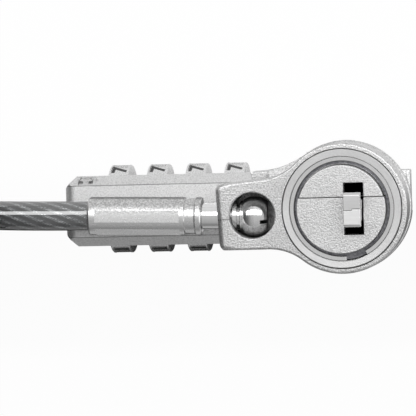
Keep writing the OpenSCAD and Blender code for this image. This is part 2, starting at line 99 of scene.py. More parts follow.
# %% Camera
right_of_plumb, above_plumb, roll = 7.5, 2.5, -1.55
target = Vector((-25.24, 0.43, 24)) * MM
distance = 0.5
away = Vector((sin(radians(right_of_plumb)) * cos(radians(above_plumb)),
               sin(radians(above_plumb)),
               cos(radians(right_of_plumb)) * cos(radians(above_plumb))))
right = Vector((0, 1, 0)).cross(away).normalized()
bpy.ops.object.camera_add()
camera = bpy.context.object
camera.data.lens = 233
camera.data.sensor_width = 36
camera.data.clip_start, camera.data.clip_end = 0.01, 10
turned_to = Matrix((right, away.cross(right), away)).transposed().to_4x4() @ turn(roll)
camera.matrix_world = Matrix.Translation(target + distance * away) @ turned_to
bpy.context.scene.camera = camera
print("camera stands at", [round(v, 4) for v in camera.location])

# %% [markdown]
# Shader maths reads best as plain arithmetic. `Wire` wraps a socket, and each operator on it adds
# one Math node. `Finish` holds one material and makes every other node with a single method.

# %% Shader helpers
class Wire:
    """A node's output that takes part in arithmetic."""

    def __init__(self, finish, socket):
        self.finish = finish
        self.socket = socket

    def calc(self, operation, *values):
        return self.finish.node("ShaderNodeMath", {"operation": operation}, *values)

    def __add__(self, other):
        return self.calc("ADD", self, other)

    def __radd__(self, other):
        return self.calc("ADD", other, self)

    def __sub__(self, other):
        return self.calc("SUBTRACT", self, other)

    def __rsub__(self, other):
        return self.calc("SUBTRACT", other, self)

    def __mul__(self, other):
        return self.calc("MULTIPLY", self, other)

    def __rmul__(self, other):
        return self.calc("MULTIPLY", other, self)

    def __truediv__(self, other):
        return self.calc("DIVIDE", self, other)

    def __rtruediv__(self, other):
        return self.calc("DIVIDE", other, self)

    def __pow__(self, other):
        return self.calc("POWER", self, other)

    def __gt__(self, other):
        return self.calc("GREATER_THAN", self, other)

    def __lt__(self, other):
        return self.calc("LESS_THAN", self, other)

    def wave(self):
        return self.calc("SINE", self)

    def part(self):
        return self.calc("FRACT", self)

    def size(self):
        return self.calc("ABSOLUTE", self)

    def root(self):
        return self.calc("SQRT", self)

    def most(self, other):
        return self.calc("MAXIMUM", self, other)


class Finish:
    """One procedural material."""

    def __init__(self, name, **constants):
        self.material = bpy.data.materials.new(name)
        self.material.use_nodes = True
        self.tree = self.material.node_tree
        self.tree.nodes.clear()
        self.shader = self.tree.nodes.new("ShaderNodeBsdfPrincipled")
        self.output = self.tree.nodes.new("ShaderNodeOutputMaterial")
        self.tree.links.new(self.shader.outputs[0], self.output.inputs[0])
        for key, value in constants.items():
            self.shader.inputs[key.replace("_", " ").title().replace("Ior", "IOR")].default_value = value
        self.place = self.node("ShaderNodeTexCoord", {"out": "Object"})

    def node(self, kind, settings, *values, **named):
        """Makes a node, sets it, then gives its sockets their values or links."""
        made = self.tree.nodes.new(kind)
        out = 0
        for key, value in settings.items():
            if key == "out":
                out = value
            elif key == "stops":
                while len(made.color_ramp.elements) < len(value):
                    made.color_ramp.elements.new(0.5)
                for element, (position, colour) in zip(made.color_ramp.elements, value):
                    element.position = position
                    element.color = (*colour, 1) if isinstance(colour, tuple) else (colour,) * 3 + (1,)
            else:
                setattr(made, key, value)
        for key, value in [*enumerate(values), *named.items()]:
            socket = made.inputs[key if isinstance(key, int) else key.replace("_", " ").title()]
            if isinstance(value, Wire):
                self.tree.links.new(value.socket, socket)
            else:
                socket.default_value = value
        return Wire(self, made.outputs[out])

    def axes(self, wire=None):
        """The X, Y and Z of a vector."""
        first = self.node("ShaderNodeSeparateXYZ", {}, wire or self.place)
        parts = first.socket.node.outputs
        return Wire(self, parts[0]), Wire(self, parts[1]), Wire(self, parts[2])

    def grain(self, size, detail=2.0, stretch=(1, 1, 1)):
        """Noise whose lumps are about one size, in metres, drawn out along an axis by its stretch."""
        place = self.place
        if stretch != (1, 1, 1):
            squeezed = tuple(1 / s for s in stretch)
            place = self.node("ShaderNodeMapping", {}, place, scale=squeezed)
        return self.node("ShaderNodeTexNoise", {}, vector=place, scale=1 / size, detail=detail)

    def steps(self, wire, *stops):
        """A grey or coloured ramp over a value."""
        return self.node("ShaderNodeValToRGB", {"stops": stops}, wire)

    def blend(self, share, first, second):
        """Mixes two colours."""
        made = self.node("ShaderNodeMix", {"data_type": "RGBA", "out": 2})
        inputs = made.socket.node.inputs
        for socket, value in ((inputs[0], share), (inputs[6], first), (inputs[7], second)):
            if isinstance(value, Wire):
                self.tree.links.new(value.socket, socket)
            else:
                socket.default_value = (*value, 1) if isinstance(value, tuple) else value
        return made

    def feed(self, name, wire):
        self.tree.links.new(wire.socket, self.shader.inputs[name])

    def relief(self, height, depth, strength=1.0):
        """Bump of a given depth in metres."""
        self.feed("Normal", self.node("ShaderNodeBump", {}, strength=strength, distance=depth, height=height))


def grey(value):
    return (value, value, value)


print("shader helpers ready")

# %% [markdown]
# The studio is a pale floor, a long soft box above and behind the bar, a weaker fill beside the
# head, and a dome that darkens towards the near side and towards the cable. Polished metal shows
# only what stands round it, so the dome's dark side is what draws the lower edge of every round
# piece. The floor is plain white to the eye, but the metal sees a white card behind the lock and a
# narrow black one before it, as if the lock stood clear of the paper.

# %% Floor, soft boxes and dome
bpy.ops.object.select_all(action="DESELECT")
bpy.ops.mesh.primitive_plane_add(size=6)
floor = bpy.context.object
floor.name = "studio_floor"
paper = Finish("studio_paper", roughness=0.9)
fibres = paper.grain(0.004)
card = paper.steps(paper.axes()[1] * 12 + 0.5, (0.14, 0.5), (0.19, 0.02), (0.47, 0.02), (0.6, 0.85))
paper.feed("Base Color", paper.blend(fibres * 0.1, card, grey(0.44)))
glow = paper.node("ShaderNodeEmission", {}, strength=1.0, color=(1, 1, 1, 1))
seen = paper.node("ShaderNodeLightPath", {})
shown = paper.node("ShaderNodeMixShader", {}, seen * 0.97)
paper.tree.links.new(paper.shader.outputs[0], shown.socket.node.inputs[1])
paper.tree.links.new(glow.socket, shown.socket.node.inputs[2])
paper.tree.links.new(shown.socket, paper.output.inputs[0])
floor.data.materials.append(paper.material)


lamp_distance, dome_strength = 0.7, 0.9


def soft_box(name, lean, size, power, side=0.0):
    """A rectangular light aimed at the lock, leaning from straight above to +Y, and to +X by side."""
    bpy.ops.object.light_add(type="AREA")
    lamp = bpy.context.object
    lamp.name = name
    lamp.data.shape = "RECTANGLE"
    lamp.data.size, lamp.data.size_y = size
    lamp.data.energy = power
    heading = turn(-lean, "X") @ turn(side, "Y")
    lamp.matrix_world = Matrix.Translation(target) @ heading @ Matrix.Translation((0, 0, lamp_distance))
    return lamp


soft_box("long_soft_box", 27, (1.3, 0.34), 4.0)
soft_box("side_fill", 0, (0.5, 0.8), 1.6, side=78)
world = bpy.data.worlds.new("dome")
bpy.context.scene.world = world
world.use_nodes = True
sky = world.node_tree
facing = sky.nodes.new("ShaderNodeTexCoord").outputs["Generated"]
parts = sky.nodes.new("ShaderNodeSeparateXYZ")
sky.links.new(facing, parts.inputs[0])
shades = []
for axis, stops in ((1, ((0, 0.26), (0.1, 0.5), (0.35, 0.62), (0.5, 0.66), (1, 0.95))),
                    (0, ((0, 0.04), (0.22, 0.3), (0.42, 1.0), (1, 1.0)))):
    halved = sky.nodes.new("ShaderNodeMath")
    halved.operation = "MULTIPLY_ADD"
    halved.inputs[1].default_value = halved.inputs[2].default_value = 0.5
    sky.links.new(parts.outputs[axis], halved.inputs[0])
    ramp = sky.nodes.new("ShaderNodeValToRGB")
    while len(ramp.color_ramp.elements) < len(stops):
        ramp.color_ramp.elements.new(0.5)
    for element, (position, value) in zip(ramp.color_ramp.elements, stops):
        element.position, element.color = position, (*grey(value), 1)
    sky.links.new(halved.outputs[0], ramp.inputs[0])
    shades.append(ramp.outputs[0])
both = sky.nodes.new("ShaderNodeVectorMath")
both.operation = "MULTIPLY"
sky.links.new(shades[0], both.inputs[0])
sky.links.new(shades[1], both.inputs[1])
backdrop = sky.nodes["Background"]
sky.links.new(both.outputs[0], backdrop.inputs[0])
backdrop.inputs[1].default_value = dome_strength
bpy.context.scene.view_settings.view_transform = "Standard"
print("studio ready")

# %% [markdown]
# ## The cable
#
# Twisted steel strands lie under a clear jacket 5.5 mm across, 1.8 m of them. The cable leaves the
# ferrule straight, sinks to the table in an even S and is wound away in nine turns, with its end
# loop on top. A swept tube is the honest way to make it: one ring of points every few millimetres
# along the line, and a UV map with the way round on one axis and the length in metres on the
# other, so that the strands can twist along it.

# %% The cable's line
cable_d = 5.5
coil_centre = Vector((-116, -32.7, 0))
coil_r, step_r = 33.2, 5.6
first_layer = 3.35
route = [(-46.5, -0.6, 23.7), (-58, -0.4, 23.7), (-66, -0.2, 22.3), (-74, 0, 18.6), (-82, 0.2, 13.5),
         (-90, 0.4, 8.4), (-98, 0.5, 4.7), (-106, 0.5, 3.4), (-116, 0.5, 3.35)]


def eased(share):
    share = min(1, max(0, share))
    return share * share * (3 - 2 * share)


def rounded(points, steps=4):
    """A smooth line through given points."""
    guide = [points[0], *points, points[-1]]
    line = []
    for a, b, c, d in zip(guide, guide[1:], guide[2:], guide[3:]):
        a, b, c, d = Vector(a), Vector(b), Vector(c), Vector(d)
        for i in range(steps):
            t = i / steps
            line.append(0.5 * (2 * b + (c - a) * t + (2 * a - 5 * b + 4 * c - d) * t * t
                               + (3 * b - a - 3 * c + d) * t ** 3))
    return line


def coil_place(angle, radius, height):
    return coil_centre + Vector((radius * cos(radians(angle)), radius * sin(radians(angle)), height))


# How many steps inwards and which layer each turn has, from the first to the last
turns = [(0, 0), (1, 0), (2, 0), (2, 1), (1, 1), (0, 1), (0, 2), (1, 2), (2, 2)]
line = rounded(route)
for (inward, layer), (next_inward, next_layer) in zip(turns, [*turns[1:], turns[-1]]):
    for angle in range(0, 360, 5):
        share = eased((angle - 300) / 60)
        radius = coil_r - step_r * (inward + (next_inward - inward) * share)
        height = first_layer + step_r * (layer + (next_layer - layer) * share)
        line.append(coil_place(90 + angle, radius, height))
inner_r, top_layer = coil_r - 2 * step_r, first_layer + 2 * step_r
sleeve_angle, loop_r, loop_z = 210, 29.2, 21.2
for angle in range(90, sleeve_angle, 5):
    climb, swing = eased((angle - 90) / 75), eased((angle - 145) / 65)
    radius = inner_r + (loop_r - inner_r) * swing
    height = top_layer + (loop_z - top_layer) * climb
    line.append(coil_place(angle, radius, height))
for angle in range(sleeve_angle, sleeve_angle + 366, 5):
    past = angle - sleeve_angle
    line.append(coil_place(angle, loop_r - step_r * past / 360, loop_z - 0.5 + 0.5 * cos(radians(past))))
line = [point * MM for point in line]
cable_length = sum((b - a).length for a, b in zip(line, line[1:]))
print("cable's line:", len(line), "points,", round(cable_length, 3), "m")

# %% Sweep the cable
def alone(piece):
    """Makes a piece the only selected one, and the active one."""
    bpy.ops.object.select_all(action="DESELECT")
    piece.select_set(True)
    bpy.context.view_layer.objects.active = piece


def swept(name, line, radius, around):
    """A round tube along a line, with a UV map of turns and metres."""
    corners, lengths, side, run = [], [], Vector((0, 0, 1)), 0.0
    for i, point in enumerate(line):
        ahead = (line[min(i + 1, len(line) - 1)] - line[max(i - 1, 0)]).normalized()
        side = (side - side.dot(ahead) * ahead).normalized()
        across = ahead.cross(side)
        run += (point - line[i - 1]).length if i else 0
        lengths.append(run)
        for k in range(around):
            angle = 2 * pi * k / around
            corners.append(point + radius * (cos(angle) * side + sin(angle) * across))
    faces, coordinates = [], []
    for i in range(len(line) - 1):
        for k in range(around):
            a, b = i * around + k, i * around + (k + 1) % around
            faces.append((a, a + around, b + around, b))
            coordinates += [(k / around, lengths[i]), (k / around, lengths[i + 1]),
                            ((k + 1) / around, lengths[i + 1]), ((k + 1) / around, lengths[i])]
    mesh = bpy.data.meshes.new(name)
    mesh.from_pydata(corners, [], faces)
    layer = mesh.uv_layers.new(name="along")
    layer.data.foreach_set("uv", [value for pair in coordinates for value in pair])
    piece = bpy.data.objects.new(name, mesh)
    bpy.context.scene.collection.objects.link(piece)
    alone(piece)
    bpy.ops.object.mode_set(mode="EDIT")
    bpy.ops.mesh.select_all(action="DESELECT")
    bpy.ops.mesh.select_mode(type="EDGE")
    bpy.ops.mesh.select_non_manifold()
    bpy.ops.mesh.fill(use_beauty=False)
    bpy.ops.mesh.select_all(action="SELECT")
    bpy.ops.mesh.normals_make_consistent(inside=False)
    bpy.ops.object.mode_set(mode="OBJECT")
    bpy.ops.object.shade_smooth_by_angle(angle=radians(50))
    return piece


cable = swept("steel_cable", line, cable_d / 2 * MM, 20)
print("cable:", len(cable.data.polygons), "faces")

# %% [markdown]
# The strands are drawn on the UV map: a saw-tooth round the cable that also runs with the length
# is a helix. A second, finer one runs the same way a little steeper, as the single wires. The
# colour is painted lighter on each strand's crest and darker between the strands, as painted
# highlight and shade. Where both crest, a painted glint lightens it further, but only in patches,
# because no two wires lie alike. The clear jacket is the shader's own coat, so it keeps its
# constant gloss.

# %% Cable material
jacket = Finish("steel_under_clear_vinyl", coat_weight=1.0, coat_roughness=0.05, coat_ior=2.5)
unrolled = jacket.node("ShaderNodeTexCoord", {"out": "UV"})
around_it, along_it, _ = jacket.axes(unrolled)
strands, strand_lay = 12, 0.041    # how many, and metres to one full twist
wires, wire_lay = 60, 0.034
strand = (around_it * strands - along_it * (strands / strand_lay)).part()
crest = (strand * pi).wave()
wire_run = (around_it * wires - along_it * (wires / wire_lay)).part()
wire_crest = (wire_run * pi).wave()
patches = jacket.node("ShaderNodeTexNoise", {}, vector=unrolled, scale=260, detail=2)
glint = (crest ** 2) * (wire_crest ** 2) * jacket.steps(patches, (0.45, 0.0), (0.62, 1.0))
soot = jacket.grain(0.0011, 3)
# Painted highlight on the strand crests and wire glints, painted shade in the grooves between strands.
lit = crest * 0.3 + glint * 0.6 + soot * 0.3
shadow, wire_grey, painted_glint_steel = (0.006, 0.007, 0.008), (0.035, 0.039, 0.042), (0.75, 0.77, 0.78)
jacket.feed("Base Color", jacket.steps(lit, (0.15, shadow), (0.5, wire_grey), (0.95, painted_glint_steel)))
jacket.feed("Metallic", crest * 0.35 + 0.4)
jacket.feed("Roughness", 0.5 - crest * 0.14 + soot * 0.1)
jacket.relief(crest * 0.8 + wire_crest * 0.25, 0.00035, 0.6)
cable.data.materials.append(jacket.material)
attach(cable, "cable_collar")
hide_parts("cable", "cable_coil", "end_loop")
print("cable material:", len(jacket.tree.nodes), "nodes")

# %% [markdown]
# ## Modelling helpers
#
# A few moves come back on every piece: draw an outline and extrude it, turn a profile on a lathe,
# cut one solid with another, round its edges. Each is written once, with the same operators that
# a person would press by hand. Everything is deselected first, because an operator acts on all
# that is selected.

# %% Placing, modifiers and cutting
def placed(piece, place):
    """Puts a piece somewhere and takes the place into its mesh."""
    alone(piece)
    piece.matrix_world = place @ piece.matrix_world
    bpy.ops.object.transform_apply(location=True, rotation=True, scale=True)
    return piece


def refine(piece, kind, **settings):
    """Adds a modifier, sets it and applies it."""
    alone(piece)
    made = piece.modifiers.new(kind.lower(), kind)
    for key, value in settings.items():
        setattr(made, key, value)
    bpy.ops.object.modifier_apply(modifier=made.name)
    return piece


def cut(piece, tool, operation="DIFFERENCE"):
    """Combines a piece with a tool, which is used up."""
    refine(piece, "BOOLEAN", object=tool, operation=operation, solver="EXACT")
    bpy.data.objects.remove(tool)
    return piece


def soften(piece, width, segments=2, angle=34):
    """Merges flat neighbours, then rounds every edge that is sharper than an angle."""
    alone(piece)
    bpy.ops.object.mode_set(mode="EDIT")
    bpy.ops.mesh.select_all(action="SELECT")
    bpy.ops.mesh.dissolve_limited(angle_limit=radians(0.5))
    bpy.ops.object.mode_set(mode="OBJECT")
    return refine(piece, "BEVEL", width=width, segments=segments, limit_method="ANGLE",
                  angle_limit=radians(angle), use_clamp_overlap=False, loop_slide=False)


print("placing and cutting helpers ready")

# %% Primitives, outlines and the lathe
def block(name, low, high, place=Matrix()):
    """A box between two corners."""
    bpy.ops.object.select_all(action="DESELECT")
    low, high = Vector(low), Vector(high)
    bpy.ops.mesh.primitive_cube_add(size=1, location=(low + high) / 2, scale=high - low)
    piece = bpy.context.object
    piece.name = name
    return placed(piece, place)


def rod(name, radius, low, high, place=Matrix(), corners=96, end_radius=None):
    """A round bar or a cone along its own Z."""
    bpy.ops.object.select_all(action="DESELECT")
    bpy.ops.mesh.primitive_cone_add(vertices=corners, radius1=radius,
                                    radius2=radius if end_radius is None else end_radius,
                                    depth=high - low, location=(0, 0, (low + high) / 2))
    piece = bpy.context.object
    piece.name = name
    return placed(piece, place)


def traced(name, points):
    """Draws a line point by point from a single vertex, and stays in edit mode."""
    bpy.ops.object.select_all(action="DESELECT")
    bpy.ops.mesh.primitive_plane_add(size=0.1)
    piece = bpy.context.object
    piece.name = name
    bpy.ops.object.mode_set(mode="EDIT")
    bpy.ops.mesh.select_mode(type="VERT")
    bpy.ops.mesh.merge(type="CENTER")
    bpy.ops.transform.translate(value=points[0])
    for before, after in zip(points, points[1:]):
        step = Vector(after) - Vector(before)
        bpy.ops.mesh.extrude_vertices_move(TRANSFORM_OT_translate={"value": step})
    bpy.ops.mesh.select_all(action="SELECT")
    return piece


def closed_up(piece):
    """Merges doubles, turns the faces outwards and leaves edit mode."""
    bpy.ops.mesh.select_all(action="SELECT")
    bpy.ops.mesh.remove_doubles(threshold=0.002)
    bpy.ops.mesh.normals_make_consistent(inside=False)
    bpy.ops.object.mode_set(mode="OBJECT")


def drawn(name, outline, low, high, place=Matrix()):
    """A plate: its outline is filled at low and extruded to high."""
    piece = traced(name, [(x, y, low) for x, y in outline])
    bpy.ops.mesh.edge_face_add()
    bpy.ops.mesh.extrude_region_move(TRANSFORM_OT_translate={"value": (0, 0, high - low)})
    closed_up(piece)
    return placed(piece, place)


def turned(name, profile, place=Matrix(), steps=96, angle=360):
    """A turned piece: (height, radius) points spun round Z. A part turn gets closed ends."""
    points = [(radius, 0, height) for height, radius in profile]
    if angle == 360 and profile[0][1] > 0:
        points.append(points[0])
    piece = traced(name, points)
    if angle < 360:
        bpy.ops.mesh.edge_face_add()
    bpy.ops.mesh.spin(steps=steps, angle=radians(angle), center=(0, 0, 0), axis=(0, 0, 1))
    closed_up(piece)
    return placed(piece, place)


def arc(x, y, radius, start, end, count):
    """Points of an arc, its angles in degrees."""
    return [(x + radius * cos(radians(start + (end - start) * i / count)),
             y + radius * sin(radians(start + (end - start) * i / count))) for i in range(count + 1)]


def joined(first, *others):
    """Joins meshes that are one physical piece."""
    alone(first)
    for other in others:
        other.select_set(True)
    bpy.ops.object.join()
    return first


def finished(piece, body, slot, finish, *nodes, smooth=42):
    """Scales a piece to metres, shades it, paints it and ties it to its body."""
    placed(piece, Matrix.Scale(MM, 4))
    bpy.ops.object.shade_smooth_by_angle(angle=radians(smooth))
    refine(piece, "WEIGHTED_NORMAL", keep_sharp=True, weight=80)
    piece.data.materials.clear()
    piece.data.materials.append(finish.material)
    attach(piece, body)
    if nodes:
        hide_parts(*nodes)
    print(piece.name, len(piece.data.polygons), "faces")
    return piece


bodies = frame["record"]["behaviour"]["bodies"]
body_of_node = {node: body for body, nodes in bodies.items() for node in nodes}
slot_of_node = {part["node"]: part["material_slot"] for part in frame["record"]["subparts"]}


def eased_copy(node, name, width, finish, segments=2, angle=34):
    """A CAD node's own shape with its sharp edges rounded, as tumbling leaves them."""
    piece = frame["nodes"][node].copy()
    piece.data = piece.data.copy()
    piece.parent = None
    for key in list(piece.keys()):
        del piece[key]
    piece.name = name
    bpy.context.scene.collection.objects.link(piece)
    placed(piece, Matrix.Scale(1 / MM, 4))
    bpy.ops.object.mode_set(mode="EDIT")
    bpy.ops.mesh.select_mode(type="VERT")
    bpy.ops.mesh.select_all(action="SELECT")
    bpy.ops.mesh.remove_doubles(threshold=0.002)
    bpy.ops.mesh.dissolve_limited(angle_limit=radians(1))
    bpy.ops.object.mode_set(mode="OBJECT")
    if width:
        soften(piece, width, segments, angle)
    return finished(piece, body_of_node[node], slot_of_node[node], finish, node)


print("modelling helpers ready")

# %% [markdown]
# ## Finishes
#
# The shells are zinc castings, blasted with fine beads and plated with nickel. The blasting shows
# as a sparkle of tiny pits a third of a millimetre apart, with broad faint clouds in the plating.
# The pits go into colour, roughness and bump together, so that they read from near and far.

# %% Cast and polished metals
def blasted(name, light, dark, roughness, pit=0.00030, depth=0.00005, smooth_from=None, shade=None):
    """Bead-blasted plating; above a height in metres it is smooth, and shade gives where the colour is
    painted darker.
    """
    skin = Finish(name, metallic=1.0)
    pits = skin.grain(pit, 3)
    clouds = skin.grain(0.006, 2)
    cover = skin.steps(pits, (0.34, 0.0), (0.5, 0.55), (0.64, 1.0))
    if smooth_from is not None:
        height = skin.axes()[2]
        coarse = height < smooth_from
        cover = 1 - (1 - cover) * (coarse * 0.85 + 0.15)
    tone = cover * 0.8 + clouds * 0.4 - 0.1
    plated = skin.blend(tone, grey(dark), grey(light))
    skin.feed("Base Color", skin.blend(shade(skin), plated, grey(0.05)) if shade else plated)
    skin.feed("Roughness", roughness + (1 - cover) * 0.16 + (clouds - 0.5) * 0.08)
    skin.relief(cover, depth, 0.5)
    return skin


def machined(name, light, roughness, along, lines=0.00012, clouds_size=0.003, shade=None):
    """Turned and polished metal, with fine tool lines square to one of its axes."""
    skin = Finish(name, metallic=1.0)
    stretch = {"X": (1, 60, 60), "Y": (60, 1, 60), "Z": (60, 60, 1)}[along]
    tool = skin.grain(lines, 2, stretch)
    clouds = skin.grain(clouds_size, 3)
    plated = skin.blend(tool * 0.6 + clouds * 0.4, grey(light - 0.14), grey(light + 0.04))
    skin.feed("Base Color", skin.blend(shade(skin), plated, grey(0.04)) if shade else plated)
    skin.feed("Roughness", roughness + tool * 0.07 + clouds * 0.06)
    skin.relief(tool * 0.6 + clouds * 0.4, 0.000015, 0.4)
    return skin


window_at = on_collar @ Vector((-ball_x, 0, 0))


def away_from(skin, x, y):
    """Distance of a surface point from an upright axis, in millimetres."""
    over, across, _ = skin.axes()
    return (((over - x * MM) ** 2 + (across - y * MM) ** 2) / MM ** 2).root()


def line_at(wire, middle, half_width):
    """1 within half a width of a value, 0 elsewhere."""
    return (wire - middle).size() < half_width


def collar_dirt(skin):
    """Painted shade inside the window, in the groove at the annulus's foot and along the ear's mould line."""
    in_window = (away_from(skin, window_at.x, window_at.y) < 4.26) * 0.3
    in_groove = line_at(away_from(skin, 0, 0), 11.0, 0.1) * 0.6
    straight = skin.node("ShaderNodeMapping", {}, skin.place, rotation=(0, 0, radians(-collar_turn)))
    over, across, _ = skin.axes(straight)
    on_mould_line = line_at(across / MM, -0.39, 0.09) * (over < -20.6 * MM) * 0.6
    return in_window.most(in_groove).most(on_mould_line)


def clip_dirt(skin):
    """Painted shade along both edges of the clip, next to the collar's lip and the nose plates."""
    out = away_from(skin, 0, 0)
    return ((out > 9.5) * 0.8).most((out < 8.86) * 0.7)


def cover_dirt(skin):
    """A fine dark line is painted along the foot of each strip."""
    return line_at(skin.axes()[1].size() * (1 / MM), 4.86, 0.09) * 0.55


cast = blasted("blasted_nickel", 0.76, 0.44, 0.4)
collar_skin = blasted("collar_nickel", 0.77, 0.40, 0.38, smooth_from=0.02856, shade=collar_dirt)
disc_skin = blasted("nose_disc_nickel", 0.76, 0.50, 0.4, pit=0.00026)
cover_skin = blasted("cover_nickel", 0.84, 0.60, 0.38, pit=0.00024, depth=0.00003, shade=cover_dirt)
bright_ring = machined("bright_spring_clip", 0.86, 0.16, "Z", shade=clip_dirt)
bright_pin = machined("polished_pin", 0.84, 0.07, "X", lines=0.00025)
small_parts = machined("bright_fasteners", 0.74, 0.2, "Z")
# One jaw steel in two tones: the lower jaw is painted as lit, the upper is painted in shade.
jaw_painted_lit = machined("hardened_jaw", 0.92, 0.3, "Y")
jaw_painted_shade = machined("hardened_jaw_shaded", 0.72, 0.3, "Y")
shaft_steel = machined("ground_shaft", 0.6, 0.24, "Z")
print("metals ready")

# %% [markdown]
# Spring steel leaves the furnace dark and is wiped with oil; the hubs and the bush are turned
# brass; the ferrule is soft aluminium that the press left grainy on its flats and drawn lengthwise
# between them.

# %% Spring steel, brass and aluminium
spring_steel = Finish("oiled_spring_steel", metallic=1.0)
scale_marks = spring_steel.grain(0.0005, 4)
oiled = spring_steel.steps(scale_marks, (0.3, (0.13, 0.13, 0.145)), (0.7, (0.32, 0.32, 0.335)))
spring_steel.feed("Base Color", oiled)
spring_steel.feed("Roughness", 0.24 + scale_marks * 0.22)
spring_steel.relief(scale_marks, 0.00002, 0.4)

brass = Finish("turned_brass", metallic=1.0)
tool_lines = brass.grain(0.0002, 2, (1, 40, 40))
brass.feed("Base Color", brass.steps(tool_lines, (0.3, (0.52, 0.38, 0.15)), (0.7, (0.78, 0.62, 0.32))))
brass.feed("Roughness", 0.2 + tool_lines * 0.2)
brass.relief(tool_lines, 0.00002, 0.4)

alloy = Finish("pressed_aluminium", metallic=1.0)
drawn_lines = alloy.grain(0.00035, 3, (18, 1, 1))
press_grain = alloy.grain(0.00032, 3)
press_cover = alloy.steps(press_grain, (0.42, 0.0), (0.68, 1.0))
across_lock = alloy.axes()[1]
# The press grain is painted darker on the upper side of the sleeve, as painted shade.
upper_side_shade = alloy.steps(across_lock * 400 + 0.5, (0.2, 0.25), (0.75, 1.0))
press_marks_and_upper_shade = (1 - press_cover) * upper_side_shade
lean = atan2(on_pin[1][0], on_pin[0][0])
centred = Matrix.Rotation(-lean, 4, "Z") @ Matrix.Translation(-cable_exit * MM)
straight = alloy.node("ShaderNodeMapping", {}, alloy.place,
                      location=tuple(centred.translation), rotation=(0, 0, -lean))
across_ferrule = alloy.axes(straight)[1]
edge_shade = alloy.steps(across_ferrule / MM * 0.25 - 0.5, (0.28, 0.0), (0.35, 1.0))
aluminium = alloy.blend(press_marks_and_upper_shade * 0.7 + drawn_lines * 0.3, grey(0.92), grey(0.36))
alloy.feed("Base Color", alloy.blend(edge_shade * 0.75, aluminium, grey(0.1)))
alloy.feed("Roughness", 0.22 + press_marks_and_upper_shade * 0.2 + drawn_lines * 0.08)
alloy.relief(1 - press_marks_and_upper_shade + drawn_lines * 0.3, 0.00004, 0.5)
print("spring steel, brass and aluminium ready")

# %% [markdown]
# ## Front cover
#
# The cover is a long casting with a sloping strip down each edge, cut corners and a rounded far
# end. It could be bevelled from a box, but the strip is wider than it is tall and stops short of
# the head, so three outlines do it: the cross-section gives the strips, the plan gives the corners
# and the slanted strip ends, and the side view rounds the far end over.

# %% Front cover
cover_low, cover_high = span("front_cover")
half, top, seam = cover_high.y, cover_high.z, cover_low.z
strip_w, strip_h, corner, strip_end, end_round = 1.8, 1.6, 2.2, -18, 2.1
flat = half - strip_w
section = [(-half, seam), (-half, top - strip_h), (-flat, top),
           (flat, top), (half, top - strip_h), (half, seam)]
cover = drawn("cover_shell", section, cover_low.x, cover_high.x, along_x())
left = cover_low.x
plan = [(left, -half + corner), (left + corner, -half), (strip_end, -half), (strip_end + 0.65, -flat),
        (cover_high.x, -flat), (cover_high.x, flat), (strip_end + 0.65, flat), (strip_end, half),
        (left + corner, half), (left, half - corner)]
cut(cover, drawn("plan_tool", plan, seam - 1, top + 1), "INTERSECT")
side_view = [(left, seam - 1), *arc(left + end_round, top - end_round, end_round, 180, 90, 10),
             (cover_high.x, top), (cover_high.x, seam - 1)]
cut(cover, drawn("side_tool", side_view, -10, 10, turn(90, "X")), "INTERSECT")
soften(cover, 0.16, 3, 46)
print("cover:", len(cover.data.polygons), "faces")

# %% [markdown]
# The reset screw sits under an oblong mouth in the upper strip. Its slot takes a small driver and
# is deeper at its two ends. The pocket over the wheels is cut from inside and can't be seen, but
# it keeps the wheels' corners out of the casting.

# %% Reset recess, wheel pocket and reset screw
reset_lean = degrees(atan2(strip_h, strip_w))
reset_place = shift(-49.25, half - strip_w / 2, top - strip_h / 2) @ turn(-reset_lean, "X")
axle_z = 9.6
mouth_half, mouth_r, sunk, screw_r = 2.35, 1.02, 0.42, 1.38
reach = mouth_half - mouth_r
mouth = [*arc(reach, 0, mouth_r, -90, 90, 14), *arc(-reach, 0, mouth_r, 90, 270, 14)]
cut(cover, drawn("mouth_tool", mouth, -sunk, 2, reset_place))
cut(cover, rod("screw_seat_tool", screw_r + 0.05, -4, 0.02 - sunk, reset_place))
cut(cover, rod("pocket_tool", 8.6, -46.2, -18.6, along_x(z=axle_z)))
for x in (-50.3, -16.6):
    cut(cover, rod("screw_tool", 0.8, -1, 2.2, shift(x, 0, seam), 48))
    cut(cover, rod("sink_tool", 0.8, 0, 0.72, shift(x, 0, top - 0.7), 48, end_radius=1.52))
finished(cover, "lock_body", "satin_zinc", cover_skin, "front_cover", smooth=36)

screw_profile = [(-3.5, 0), (-3.5, screw_r), (-sunk - 0.1, screw_r), (-sunk, screw_r - 0.1), (-sunk, 0)]
reset = turned("reset_driver_screw", screw_profile, reset_place, 72)
cut(reset, block("driver_slot", (-1.1, -0.3, -0.6), (1.1, 0.3, 1), reset_place))
for side in (-1, 1):
    cut(reset, rod("slot_end", 0.4, -1.8, 1, reset_place @ shift(side * 0.92), 32))
finished(reset, "reset_screw", "polished_metal", small_parts, "reset_screw")

# %% [markdown]
# ## Swivel collar
#
# The collar is the lock's face: a ring round the head with an ear that holds the ball pin. Ring
# and ear are one outline, joined by hollow arcs. It could be modelled as a lathe-turned ring with
# a block let into it, but the arcs would then need filling by hand. Drawing the whole outline
# once and rounding its edge with one bevel gives the unbroken highlight that runs round the real
# casting. The ear's free end is rounder still; a second, softer outline rounds it and fades out
# along the sides.

